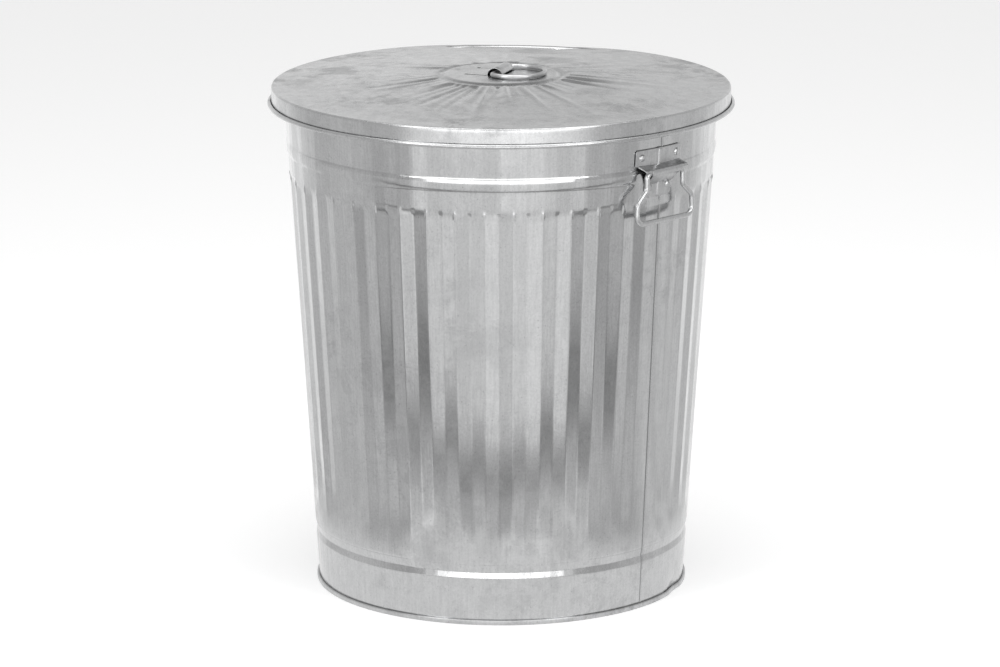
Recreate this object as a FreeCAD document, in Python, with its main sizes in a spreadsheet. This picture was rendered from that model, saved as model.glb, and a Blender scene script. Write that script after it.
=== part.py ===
import FreeCAD, Part
import math
import os
import re

import Sketcher

# A round galvanized steel can with a lift-off lid, in millimetres and degrees.
# The origin is at the middle of the base, +Z is up, and the two carrying handles lie on +X and -X.

SIZES = {
    # sheet, seats and running gaps
    "sheet_gauge": 0.6,
    "seat_gap": 0.3,
    # can wall: a cone that widens upwards, measured outside
    "can_height": 542.5,
    "wall_foot_radius": 197.9,
    "wall_top_radius": 233.0,
    "rim_wire_diameter": 4.7,
    "rim_wire_play": 0.45,
    "rim_tuck_angle": 60.0,
    "hem_height": 5.2,
    "floor_lift": 12.0,
    # pressed shoulder above the foot band
    "foot_band_height": 51.0,
    "shoulder_rise": 7.0,
    "shoulder_recess": 1.2,
    "crease_height": 67.0,
    # bead under the collar
    "bead_height": 480.0,
    "bead_half_height": 8.0,
    "bead_proud": 1.2,
    # upright flutes
    "flute_count": 45,
    "flute_depth": 1.9,
    "flute_foot": 88.0,
    "flute_top": 455.0,
    "flute_run_out": 9.0,
    "flute_land": 0.8,
    "plain_panel_angle": 11.1,
    "plain_panel_turn": 2.1,
    # lock seam that joins the wall's two edges
    "seam_width": 3.8,
    "seam_proud": 0.5,
    "seam_foot_turn": 2.9,
    "seam_top_turn": 0.9,
    # lid
    "lid_radius": 245.8,
    "lid_skirt": 18.4,
    "lid_edge_round": 1.8,
    "lid_curl_radius": 2.4,
    "lid_curl_close": 70.0,
    "lid_seat_width": 12.0,
    "lid_rise": 11.9,
    "boss_radius": 59.0,
    "boss_groove_radius": 65.0,
    "boss_groove_depth": 1.8,
    "boss_ring_radius": 69.5,
    "boss_ring_drop": 1.2,
    "lid_turn": 24.5,
    # strap lanced out of the lid's boss
    "strap_width": 37.0,
    "strap_radius": 8.7,
    "strap_root": 33.0,
    "strap_offset": -1.2,
    "strap_shift": 1.5,
    "strap_end_angle": 12.0,
    "slit_width": 0.8,
    "slit_hole_diameter": 3.0,
    # wire ring under the strap
    "ring_wire_diameter": 5.0,
    "ring_radius": 32.0,
    "ring_reach": 17.0,
    "ring_corner_radius": 8.0,
    "wire_butt_gap": 1.0,
    # handle bracket
    "bracket_gauge": 1.3,
    "plate_width": 68.0,
    "plate_top": 507.5,
    "barrel_width": 63.0,
    "lip_width": 44.0,
    "tab_width": 38.0,
    "tab_foot": 455.5,
    "tab_corner_cut": 5.0,
    "web_slope": 15.0,
    "return_slope": 40.0,
    "wing_edge_angle": 22.0,
    "rib_width": 4.0,
    "rib_proud": 1.0,
    # wire handle
    "bail_wire_diameter": 5.5,
    "bail_axis_height": 484.0,
    "bail_stand_off": 9.8,
    "bail_leg_spacing": 54.4,
    "bail_grip_width": 85.0,
    "bail_shoulder_width": 82.4,
    "bail_play": 0.3,
    "bail_leg_drop": 18.0,
    "bail_shoulder_drop": 31.0,
    "bail_drop": 52.3,
    "bail_top_bend": 6.0,
    "bail_shoulder_bend": 8.0,
    "bail_corner_bend": 9.0,
    # rivets
    "rivet_shank_diameter": 4.0,
    "rivet_head_diameter": 8.0,
    "rivet_head_height": 2.2,
    "rivet_tail_diameter": 6.4,
    "rivet_tail_height": 1.2,
    "rivet_seat": 0.1,
    "rivet_hole_clearance": 0.05,
    "plate_rivet_spacing": 51.8,
    "plate_rivet_height": 499.5,
    "tab_rivet_spacing": 27.6,
    "tab_rivet_height": 466.5,
}

doc = FreeCAD.newDocument("trash_can")
sheet = doc.addObject("Spreadsheet::Sheet", "Sizes")
for row, (alias, value) in enumerate(SIZES.items(), start=1):
    sheet.set(f"A{row}", alias)
    sheet.set(f"B{row}", str(value))
    sheet.setAlias(f"B{row}", alias)
doc.recompute()


# ---------------------------------------------------------------- words for places, used in every piece

def bound(text):
    """Turn size names in a formula into references to the sheet."""
    return re.sub(r"[a-z][a-z_]*", lambda m: "Sizes." + m[0] if m[0] in SIZES else m[0], str(text))


def number(text):
    """Work a formula out now, for a sketch's first shape."""
    return float(sheet.evalExpression(bound(text)))


WALL_SLOPE = "((wall_top_radius - wall_foot_radius) / can_height)"


def wall(height):
    """Outer radius of the plain wall at a height."""
    return f"(wall_foot_radius + {WALL_SLOPE} * ({height}))"


# rolled rim round its wire
ROLL_INSIDE = "(rim_wire_diameter / 2 + rim_wire_play)"
ROLL_OUTSIDE = f"({ROLL_INSIDE} + sheet_gauge)"
ROLL_HEIGHT = f"(can_height - {ROLL_OUTSIDE})"
ROLL_RADIUS = f"({wall(ROLL_HEIGHT)} + {ROLL_INSIDE})"

# hem where the wall and the bottom hook into each other
HOOK_FOOT = "(sheet_gauge + seat_gap)"
HOOK_TOP = "(hem_height - sheet_gauge - seat_gap)"
HEM_WALL = wall("hem_height")

# bead
BEAD_FOOT = "(bead_height - bead_half_height)"
BEAD_TOP = "(bead_height + bead_half_height)"
BEAD_ARC = "((bead_half_height ^ 2 + bead_proud ^ 2) / (2 * bead_proud))"

# lid
LID_UNDER = "(can_height + seat_gap)"
LID_TOP = f"({LID_UNDER} + sheet_gauge)"
BOSS_TOP = f"({LID_TOP} + lid_rise)"
CURL_INSIDE = "(lid_curl_radius - sheet_gauge)"
CURL_HEIGHT = f"({LID_TOP} - lid_skirt)"
RING_HEIGHT = f"({BOSS_TOP} + ring_wire_diameter / 2 + seat_gap)"

# handle bracket: its sheet stands off the wall by the seam that runs behind it
PLATE_GAP = "(seam_proud + seat_gap)"
BAIL_AXIS_RADIUS = f"({wall('bail_axis_height')} + bail_stand_off)"
BARREL_INSIDE = "(bail_wire_diameter / 2 + bail_play)"
BARREL_OUTSIDE = f"({BARREL_INSIDE} + bracket_gauge)"
HOOK_LEAVE = "((90 - web_slope) * 1 deg)"
HOOK_SPLIT = "(wing_edge_angle * 1 deg)"
HOOK_BACK = "((return_slope - 90) * 1 deg)"
BRACKET_FACE = f"({wall('bail_axis_height')} + {PLATE_GAP} + bracket_gauge)"
SHELF_RUN = f"({BAIL_AXIS_RADIUS} + {BARREL_OUTSIDE} * cos({HOOK_LEAVE}) - {BRACKET_FACE})"
PLATE_FOOT = (f"(bail_axis_height + {BARREL_OUTSIDE} * sin({HOOK_LEAVE})"
              f" + {SHELF_RUN} * tan(web_slope * 1 deg) - bracket_gauge / 2)")
RETURN_RUN = f"({BAIL_AXIS_RADIUS} + {BARREL_OUTSIDE} * cos({HOOK_BACK}) - {BRACKET_FACE})"
TAB_TOP = (f"(bail_axis_height + {BARREL_OUTSIDE} * sin({HOOK_BACK})"
           f" - {RETURN_RUN} * tan(return_slope * 1 deg) + bracket_gauge / 2)")


# ---------------------------------------------------------------- drawing helpers

def plane(body, role):
    return next(feature for feature in body.Origin.OriginFeatures if feature.Role == role)


def new_body(name, placement=None):
    body = doc.addObject("PartDesign::Body", name)
    body.Label = name
    if placement:
        body.setExpression("Placement", bound(placement))
    return body


def new_sketch(body, name, role, offset=None):
    sketch = body.newObject("Sketcher::SketchObject", name)
    sketch.AttachmentSupport = [(plane(body, role), "")]
    sketch.MapMode = "FlatFace"
    if offset:
        sketch.setExpression("AttachmentOffset", bound(offset))
    return sketch


def pin(sketch, edge, end, across, up):
    """Hold one end of an edge at two formulas, measured from the sketch's origin."""
    if across == "0":
        sketch.addConstraint(Sketcher.Constraint("PointOnObject", edge, end, -2))
    else:
        held = sketch.addConstraint(Sketcher.Constraint("DistanceX", edge, end, number(across)))
        sketch.setExpression(f"Constraints[{held}]", bound(across))
    if up == "0":
        sketch.addConstraint(Sketcher.Constraint("PointOnObject", edge, end, -1))
    else:
        held = sketch.addConstraint(Sketcher.Constraint("DistanceY", edge, end, number(up)))
        sketch.setExpression(f"Constraints[{held}]", bound(up))


def size(sketch, kind, edge, text):
    held = sketch.addConstraint(Sketcher.Constraint(kind, edge, number(text)))
    sketch.setExpression(f"Constraints[{held}]", bound(text))


def outline(sketch, corners, arcs=None, closed=True):
    """Draw lines between corners; arcs gives, for the edge that starts at a corner,
    its radius, its centre (only to start the drawing) and whether it turns to the left."""
    arcs = arcs or {}
    spots = [FreeCAD.Vector(number(across), number(up), 0) for across, up in corners]
    count = len(spots) if closed else len(spots) - 1
    ends = []
    for index in range(count):
        first = spots[index]
        last = spots[(index + 1) % len(spots)]
        if index in arcs:
            radius, centre, left = arcs[index]
            middle = FreeCAD.Vector(number(centre[0]), number(centre[1]), 0)
            circle = Part.Circle(middle, FreeCAD.Vector(0, 0, 1), (first - middle).Length)
            begin = math.atan2(first.y - middle.y, first.x - middle.x)
            finish = math.atan2(last.y - middle.y, last.x - middle.x)
            if not left:
                begin, finish = finish, begin
            edge = sketch.addGeometry(Part.ArcOfCircle(circle, begin, finish), False)
            ends.append((edge, 1, 2) if left else (edge, 2, 1))
        else:
            edge = sketch.addGeometry(Part.LineSegment(first, last), False)
            ends.append((edge, 1, 2))
    for index, (edge, start, stop) in enumerate(ends):
        pin(sketch, edge, start, *corners[index])
        if index in arcs:
            size(sketch, "Radius", edge, arcs[index][0])
        if closed or index + 1 < count:
            after, after_start, _ = ends[(index + 1) % count]
            sketch.addConstraint(Sketcher.Constraint("Coincident", edge, stop, after, after_start))
        else:
            pin(sketch, edge, stop, *corners[-1])
    return sketch


def circle(sketch, radius, across="0", up="0"):
    middle = FreeCAD.Vector(number(across), number(up), 0)
    ring = Part.Circle(middle, FreeCAD.Vector(0, 0, 1), number(radius))
    edge = sketch.addGeometry(ring, False)
    pin(sketch, edge, 3, across, up)
    size(sketch, "Radius", edge, radius)
    return sketch


def round_corner(sketch, edge, radius):
    """Round the corner at an edge's far end, keeping the corner's own sizes."""
    sketch.fillet(edge, 2, number(radius), True, True)
    arc = sketch.GeometryCount - 1
    while not isinstance(sketch.Geometry[arc], Part.ArcOfCircle):
        arc -= 1
    size(sketch, "Radius", arc, radius)


def revolve(body, name, sketch, angle=None, kind="Revolution"):
    turned = body.newObject(f"PartDesign::{kind}", name)
    turned.Profile = sketch
    turned.ReferenceAxis = (sketch, ["V_Axis"])
    if angle:
        turned.Midplane = True
        turned.setExpression("Angle", bound(angle))
    return turned


def pad(body, name, sketch, length, kind="Pad"):
    """A slab or cut, half to each side of its sketch."""
    slab = body.newObject(f"PartDesign::{kind}", name)
    slab.Profile = sketch
    slab.SideType = "Symmetric"
    slab.setExpression("Length", bound(length))
    return slab


def loft(body, name, sections, kind="AdditiveLoft"):
    blend = body.newObject(f"PartDesign::{kind}", name)
    blend.Profile = sections[0]
    blend.Sections = sections[1:]
    blend.Ruled = True
    blend.Refine = False
    return blend


def pipe(body, name, section, path):
    wire = body.newObject("PartDesign::AdditivePipe", name)
    wire.Profile = section
    wire.Spine = path
    return wire


# ---------------------------------------------------------------- rivet places, shared by holes and rivets

WALL_LEAN = f"atan({WALL_SLOPE})"
RIVETS = {
    "upper_a": ("plate_rivet_height", "plate_rivet_spacing / 2"),
    "upper_b": ("plate_rivet_height", "-plate_rivet_spacing / 2"),
    "lower_a": ("tab_rivet_height", "tab_rivet_spacing / 2"),
    "lower_b": ("tab_rivet_height", "-tab_rivet_spacing / 2"),
}
SIDES = {"right": "0", "left": "180"}


def rivet_place(height, offset, turn):
    """Stand on the wall at a height and a distance round from the handle's middle, +Z square to the wall."""
    angle = f"({turn} + asin(({offset}) / {wall(height)}) / 1 deg)"
    foot = f"vector({wall(height)} * cos({angle} * 1 deg); {wall(height)} * sin({angle} * 1 deg); {height})"
    return f"placement({foot}; rotation({angle}; 90 + {WALL_LEAN} / 1 deg; 0))"


def drill(body, name, place):
    sketch = new_sketch(body, name + "_circle", "XY_Plane", place)
    circle(sketch, "rivet_shank_diameter / 2 + rivet_hole_clearance")
    pad(body, name, sketch, "rivet_head_diameter + 2 * bracket_gauge", "Pocket")


# ---------------------------------------------------------------- can

def wall_corners(inset):
    """The wall's corners from the shoulder to the top of the bead, moved in by an inset."""
    recess = "(foot_band_height + shoulder_rise)"
    return [
        (f"{wall('foot_band_height')} - {inset}", "foot_band_height"),
        (f"{wall(recess)} - shoulder_recess - {inset}", recess),
        (f"{wall('crease_height')} - {inset}", "crease_height"),
        (f"{wall(BEAD_FOOT)} - {inset}", BEAD_FOOT),
        (f"{wall(BEAD_TOP)} - {inset}", BEAD_TOP),
    ]


def build_body_shell():
    body = new_body("body_shell")
    hook_in = f"{HEM_WALL} + 2 * seat_gap + sheet_gauge"
    hook_out = f"{HEM_WALL} + 2 * seat_gap + 2 * sheet_gauge"
    above_hook = f"({HOOK_FOOT} + sheet_gauge)"
    tuck = "rim_tuck_angle * 1 deg"
    corners = [
        (f"{wall(HOOK_FOOT)} - sheet_gauge", HOOK_FOOT),
        (hook_out, HOOK_FOOT),
        (hook_out, HOOK_TOP),
        (hook_in, HOOK_TOP),
        (hook_in, above_hook),
        (wall(above_hook), above_hook),
        *wall_corners("0"),
        (wall(ROLL_HEIGHT), ROLL_HEIGHT),
        (f"{ROLL_RADIUS} - {ROLL_INSIDE} * cos({tuck})", f"{ROLL_HEIGHT} - {ROLL_INSIDE} * sin({tuck})"),
        (f"{ROLL_RADIUS} - {ROLL_OUTSIDE} * cos({tuck})", f"{ROLL_HEIGHT} - {ROLL_OUTSIDE} * sin({tuck})"),
        (f"{ROLL_RADIUS} - {ROLL_OUTSIDE}", ROLL_HEIGHT),
        *reversed(wall_corners("sheet_gauge")),
    ]
    bead_middle = f"{wall('bead_height')} + bead_proud - {BEAD_ARC}"
    arcs = {
        9: (BEAD_ARC, (bead_middle, "bead_height"), True),
        11: (ROLL_INSIDE, (ROLL_RADIUS, ROLL_HEIGHT), False),
        13: (ROLL_OUTSIDE, (ROLL_RADIUS, ROLL_HEIGHT), True),
        15: (BEAD_ARC, (f"{bead_middle} - sheet_gauge", "bead_height"), False),
    }
    sketch = outline(new_sketch(body, "wall_profile", "XZ_Plane"), corners, arcs)
    revolve(body, "wall_sheet", sketch)
    for side, turn in SIDES.items():
        for name, (height, offset) in RIVETS.items():
            drill(body, f"hole_{side}_{name}", rivet_place(height, offset, turn))
    add_lock_seam(body)
    add_flutes(body)
    return body


def add_lock_seam(body):
    """A folded strip up the outside, flattened away where the bead is pressed over it."""
    low = "(hem_height + seat_gap)"
    high = f"({ROLL_HEIGHT} - {ROLL_OUTSIDE} - seat_gap)"
    for name, span in (("lower", (low, BEAD_FOOT)), ("upper", (BEAD_TOP, high))):
        sections = []
        for end, height in zip(("foot", "top"), span):
            turn = f"seam_foot_turn + (seam_top_turn - seam_foot_turn) * {height} / can_height"
            place = f"placement(vector(0; 0; {height}); rotation({turn}; 0; 0))"
            inner = f"{wall(height)} - sheet_gauge / 2"
            outer = f"{wall(height)} + seam_proud"
            corners = [
                (inner, "-seam_width / 2"),
                (outer, "-seam_width / 2"),
                (outer, "seam_width / 2"),
                (inner, "seam_width / 2"),
            ]
            sections.append(outline(new_sketch(body, f"seam_{name}_{end}", "XY_Plane", place), corners))
        loft(body, f"lock_seam_{name}", sections)


def add_flutes(body):
    """Upright folds with flat faces; each is a ridge pushed in behind the sheet, then a groove in front."""
    pitch = "((360 - plain_panel_angle) / flute_count)"
    first = f"(plain_panel_turn + plain_panel_angle / 2 + {pitch} / 2)"
    half = f"(({pitch} / 2) * 1 deg)"
    overrun = "(flute_land * 0.4)"
    clear = "(2 * sheet_gauge)"
    levels = [
        ("flute_foot", "0", clear),
        ("(flute_foot + flute_run_out)", "flute_depth", "0"),
        ("(flute_top - flute_run_out)", "flute_depth", "0"),
        ("flute_top", "0", clear),
    ]
    cuts = []
    backs = []
    for index, (height, depth, lift) in enumerate(levels):
        place = f"placement(vector(0; 0; {height}); rotation({first}; 0; 0))"
        reach = f"({wall(height)} * sin({half}) - flute_land / 2)"
        wide = f"({reach} + {overrun})"
        drop = f"({wall(height)} * (1 - cos({half})))"

        def side(base):
            return f"{base} - {depth} + ({depth} - {drop}) * {wide} / {reach}"

        front = f"({wall(height)} + {lift})"
        beyond = f"({front} + 2 * sheet_gauge)"
        cut = [
            (f"{front} - {depth}", "0"),
            (side(front), wide),
            (beyond, wide),
            (beyond, f"-{wide}"),
            (side(front), f"-{wide}"),
        ]
        cuts.append(outline(new_sketch(body, f"flute_cut_{index}", "XY_Plane", place), cut))
        inward = "sheet_gauge" if depth != "0" else "0"
        rear = f"({wall(height)} - {inward} + 0 * {lift})"
        middle = f"({wall(height)} - sheet_gauge / 2)"
        edge = f"sqrt({middle} ^ 2 - {wide} ^ 2)"
        if depth == "0":
            rear = f"({wall(height)} - sheet_gauge * 0.75)"
            flat = f"sqrt({rear} ^ 2 - {wide} ^ 2)"
            back = [(rear, "0"), (flat, wide), (edge, wide), (middle, "0"), (edge, f"-{wide}"), (flat, f"-{wide}")]
        else:
            back = [
                (f"{rear} - {depth}", "0"),
                (side(rear), wide),
                (edge, wide),
                (middle, "0"),
                (edge, f"-{wide}"),
                (side(rear), f"-{wide}"),
            ]
        backs.append(outline(new_sketch(body, f"flute_back_{index}", "XY_Plane", place), back))
    ridge = loft(body, "flute_ridge", backs)
    spread(body, "flute_ridges", ridge, pitch)
    groove = loft(body, "flute_groove", cuts, "SubtractiveLoft")
    spread(body, "flute_grooves", groove, pitch)


def spread(body, name, original, pitch):
    """Repeat one fold round the wall, leaving the plain panel free."""
    pattern = body.newObject("PartDesign::PolarPattern", name)
    pattern.Originals = [original]
    pattern.Axis = (plane(body, "Z_Axis"), [""])
    pattern.setExpression("Angle", bound(f"360 - plain_panel_angle - {pitch}"))
    pattern.setExpression("Occurrences", bound("flute_count"))
    pattern.Refine = False
    body.Tip = pattern
    return pattern



def build_rim_wire():
    wire = doc.addObject("Part::Torus", "rim_wire")
    wire.Label = "rim_wire"
    wire.setExpression("Radius1", bound(ROLL_RADIUS))
    wire.setExpression("Radius2", bound("rim_wire_diameter / 2"))
    wire.setExpression("Placement", bound(f"placement(vector(0; 0; {ROLL_HEIGHT}); rotation(0; 0; 0))"))
    return wire


def build_bottom_pan():
    body = new_body("bottom_pan")
    outside = f"{HEM_WALL} + 3 * seat_gap + 3 * sheet_gauge"
    lip = f"{HEM_WALL} + seat_gap"
    lip_foot = f"({HOOK_FOOT} + sheet_gauge + seat_gap)"
    floor_top = "(floor_lift + sheet_gauge)"
    corners = [
        ("0", "floor_lift"),
        (f"{wall('floor_lift')} - 2 * sheet_gauge - seat_gap", "floor_lift"),
        (f"{wall('0')} - 2 * sheet_gauge - seat_gap", "0"),
        (outside, "0"),
        (outside, "hem_height"),
        (lip, "hem_height"),
        (lip, lip_foot),
        (f"{lip} + sheet_gauge", lip_foot),
        (f"{lip} + sheet_gauge", "hem_height - sheet_gauge"),
        (f"{outside} - sheet_gauge", "hem_height - sheet_gauge"),
        (f"{outside} - sheet_gauge", "sheet_gauge"),
        (f"{wall('sheet_gauge')} - sheet_gauge - seat_gap", "sheet_gauge"),
        (f"{wall(floor_top)} - sheet_gauge - seat_gap", floor_top),
        ("0", floor_top),
    ]
    sketch = outline(new_sketch(body, "pan_profile", "XZ_Plane"), corners)
    revolve(body, "pan_sheet", sketch)
    return body


# ---------------------------------------------------------------- lid

def build_lid_shell():
    body = new_body("lid_shell", f"placement(vector(0; 0; {LID_TOP}); rotation(lid_turn; 0; 0))")
    top = [
        ("0", "lid_rise"),
        ("boss_radius", "lid_rise"),
        ("boss_groove_radius", "lid_rise - boss_groove_depth"),
        ("boss_ring_radius", "lid_rise - boss_ring_drop"),
        ("lid_radius - lid_seat_width", "0"),
        ("lid_radius - lid_edge_round", "0"),
    ]
    under = [(across, f"{up} - sheet_gauge") for across, up in reversed(top)]
    curl_middle = ("lid_radius - sheet_gauge + lid_curl_radius", "-lid_skirt")
    close = "lid_curl_close * 1 deg"

    def curl_end(radius):
        return (f"{curl_middle[0]} - {radius} * cos({close})", f"{radius} * sin({close}) - lid_skirt")

    edge_middle = ("lid_radius - lid_edge_round", "-lid_edge_round")
    corners = [
        *top,
        ("lid_radius", "-lid_edge_round"),
        ("lid_radius", "-lid_skirt"),
        curl_end(CURL_INSIDE),
        curl_end("lid_curl_radius"),
        ("lid_radius - sheet_gauge", "-lid_skirt"),
        ("lid_radius - sheet_gauge", "-lid_edge_round"),
        *under,
    ]
    arcs = {
        5: ("lid_edge_round", edge_middle, False),
        7: (CURL_INSIDE, curl_middle, True),
        9: ("lid_curl_radius", curl_middle, False),
        11: ("lid_edge_round - sheet_gauge", edge_middle, True),
    }
    sketch = outline(new_sketch(body, "lid_profile", "XZ_Plane"), corners, arcs)
    revolve(body, "lid_sheet", sketch)
    add_strap(body)
    return body


def add_strap(body):
    """A tongue cut free on three sides and arched over the ring's bar."""
    foot = "(strap_offset - strap_radius)"
    side_a = "(strap_shift + strap_width / 2)"
    side_b = "(strap_shift - strap_width / 2)"
    far = "(strap_offset + strap_radius + slit_width)"
    cut_depth = "2 * (lid_rise + boss_groove_depth)"
    window = [
        (foot, f"{side_b} - slit_width"),
        (far, f"{side_b} - slit_width"),
        (far, f"{side_a} + slit_width"),
        (foot, f"{side_a} + slit_width"),
    ]
    sketch = outline(new_sketch(body, "window_outline", "XY_Plane"), window)
    pad(body, "strap_window", sketch, cut_depth, "Pocket")
    for name, edge, outward in (("a", side_a, "slit_width"), ("b", side_b, "-slit_width")):
        slit = [
            ("-strap_root", edge),
            (f"{foot} + slit_width", edge),
            (f"{foot} + slit_width", f"{edge} + {outward}"),
            ("-strap_root", f"{edge} + {outward}"),
        ]
        sketch = outline(new_sketch(body, f"slit_outline_{name}", "XY_Plane"), slit)
        pad(body, f"strap_slit_{name}", sketch, cut_depth, "Pocket")
        sketch = new_sketch(body, f"slit_hole_circle_{name}", "XY_Plane")
        circle(sketch, "slit_hole_diameter / 2", "-strap_root", f"{edge} + {outward} / 2")
        pad(body, f"slit_hole_{name}", sketch, cut_depth, "Pocket")
    inside = "(strap_radius - sheet_gauge)"
    free = "strap_end_angle * 1 deg"
    arch = [
        (f"{foot} - sheet_gauge", "lid_rise - sheet_gauge"),
        (f"{foot} + sheet_gauge", "lid_rise - sheet_gauge"),
        (f"{foot} + sheet_gauge", "lid_rise"),
        (f"strap_offset + {inside} * cos({free})", f"lid_rise + {inside} * sin({free})"),
        (f"strap_offset + strap_radius * cos({free})", f"lid_rise + strap_radius * sin({free})"),
        (foot, "lid_rise"),
        (f"{foot} - sheet_gauge", "lid_rise"),
    ]
    middle = ("strap_offset", "lid_rise")
    arcs = {2: (inside, middle, False), 4: ("strap_radius", middle, True)}
    place = "placement(vector(0; 0; -strap_shift); rotation(0; 0; 0))"
    sketch = outline(new_sketch(body, "strap_profile", "XZ_Plane", place), arch, arcs)
    pad(body, "strap_arch", sketch, "strap_width")


def bent_path(sketch, corners, radii):
    """Straight runs between corners, each inner corner rounded to its radius."""
    spots = [FreeCAD.Vector(number(across), number(up), 0) for across, up in corners]
    marks = []
    for index in range(1, len(spots) - 1):
        mark = sketch.addGeometry(Part.Point(spots[index]), True)
        pin(sketch, mark, 1, *corners[index])
        marks.append(mark)
    starts = [spots[0]]
    stops = []
    bends = []
    for index in range(1, len(spots) - 1):
        inward = (spots[index - 1] - spots[index]).normalize()
        onward = (spots[index + 1] - spots[index]).normalize()
        radius = number(radii[index - 1])
        reach = radius / math.tan(inward.getAngle(onward) / 2)
        middle = spots[index] + (inward + onward).normalize() * math.hypot(reach, radius)
        stops.append(spots[index] + inward * reach)
        starts.append(spots[index] + onward * reach)
        bends.append((middle, radius, inward.cross(onward).z < 0))
    stops.append(spots[-1])
    runs = [sketch.addGeometry(Part.LineSegment(a, b), False) for a, b in zip(starts, stops)]
    pin(sketch, runs[0], 1, *corners[0])
    pin(sketch, runs[-1], 2, *corners[-1])
    for index, (middle, radius, left) in enumerate(bends):
        ends = [stops[index], starts[index + 1]]
        if not left:
            ends.reverse()
        angles = [math.atan2(spot.y - middle.y, spot.x - middle.x) for spot in ends]
        ring = Part.Circle(middle, FreeCAD.Vector(0, 0, 1), radius)
        bend = sketch.addGeometry(Part.ArcOfCircle(ring, *angles), False)
        first, last = (1, 2) if left else (2, 1)
        sketch.addConstraint(Sketcher.Constraint("Tangent", runs[index], 2, bend, first))
        sketch.addConstraint(Sketcher.Constraint("Tangent", bend, last, runs[index + 1], 1))
        sketch.addConstraint(Sketcher.Constraint("PointOnObject", marks[index], 1, runs[index]))
        sketch.addConstraint(Sketcher.Constraint("PointOnObject", marks[index], 1, runs[index + 1]))
        size(sketch, "Radius", bend, radii[index])
    return sketch


def build_lid_handle():
    """A D of round wire: an arc and a straight bar, with its butt under the strap."""
    body = new_body("lid_handle", f"placement(vector(0; 0; {RING_HEIGHT}); rotation(lid_turn; 0; 0))")
    middle = "(strap_offset + ring_reach)"
    ratio = "ring_radius / (ring_radius - ring_corner_radius)"
    corner_rise = "sqrt((ring_radius - ring_corner_radius) ^ 2 - (ring_reach - ring_corner_radius) ^ 2)"
    corner_across = "(strap_offset + ring_corner_radius)"
    touch = (f"{middle} - (ring_reach - ring_corner_radius) * {ratio}", f"{corner_rise} * {ratio}")
    path = [
        ("strap_offset", "-wire_butt_gap / 2"),
        ("strap_offset", f"-{corner_rise}"),
        (touch[0], f"-{touch[1]}"),
        (f"{middle} + ring_radius", "0"),
        touch,
        ("strap_offset", corner_rise),
        ("strap_offset", "wire_butt_gap / 2"),
    ]
    arcs = {
        1: ("ring_corner_radius", (corner_across, f"-{corner_rise}"), True),
        2: ("ring_radius", (middle, "0"), True),
        3: ("ring_radius", (middle, "0"), True),
        4: ("ring_corner_radius", (corner_across, corner_rise), True),
    }
    route = outline(new_sketch(body, "ring_route", "XY_Plane"), path, arcs, closed=False)
    place = "placement(vector(0; 0; wire_butt_gap / 2); rotation(0; 0; 0))"
    section = circle(new_sketch(body, "ring_section", "XZ_Plane", place), "ring_wire_diameter / 2", "strap_offset")
    pipe(body, "ring_wire", section, route)
    return body


# ---------------------------------------------------------------- carrying handles

def ring_strip(body, name, low, high, inner, outer, width, kind="Revolution"):
    """A strip of the wall's own curve, between two heights and two stand-offs from the wall."""
    corners = [
        (f"{wall(low)} + {inner}", low),
        (f"{wall(low)} + {outer}", low),
        (f"{wall(high)} + {outer}", high),
        (f"{wall(high)} + {inner}", high),
    ]
    sketch = outline(new_sketch(body, name + "_profile", "XZ_Plane"), corners)
    return revolve(body, name, sketch, f"2 * asin({width} / 2 / {wall(low)}) / 1 deg", kind)


def build_bracket(side, turn):
    """One sheet: a plate on the wall, a shelf, a hook round the wire and a tab back on the wall."""
    body = new_body(f"handle_bracket_{side}", f"placement(vector(0; 0; 0); rotation({turn}; 0; 0))")
    outer = f"({PLATE_GAP} + bracket_gauge)"
    ring_strip(body, "plate", PLATE_FOOT, "plate_top", PLATE_GAP, outer, "plate_width")
    ring_strip(body, "tab", "tab_foot", TAB_TOP, PLATE_GAP, outer, "tab_width")
    add_hook(body)
    ring_strip(body, "wall_clearance", "(tab_foot - tab_corner_cut)", "(plate_top + tab_corner_cut)",
               "-4 * bracket_gauge - plate_width ^ 2 / 8 / wall_foot_radius", PLATE_GAP, "2 * plate_width", "Groove")
    add_ribs(body)
    add_tab_corners(body)
    for name, (height, offset) in RIVETS.items():
        drill(body, f"hole_{name}", rivet_place(height, offset, "0"))
    return body


def hook_point(radius, angle):
    return (f"{BAIL_AXIS_RADIUS} + {radius} * cos({angle})", f"bail_axis_height + {radius} * sin({angle})")


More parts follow.
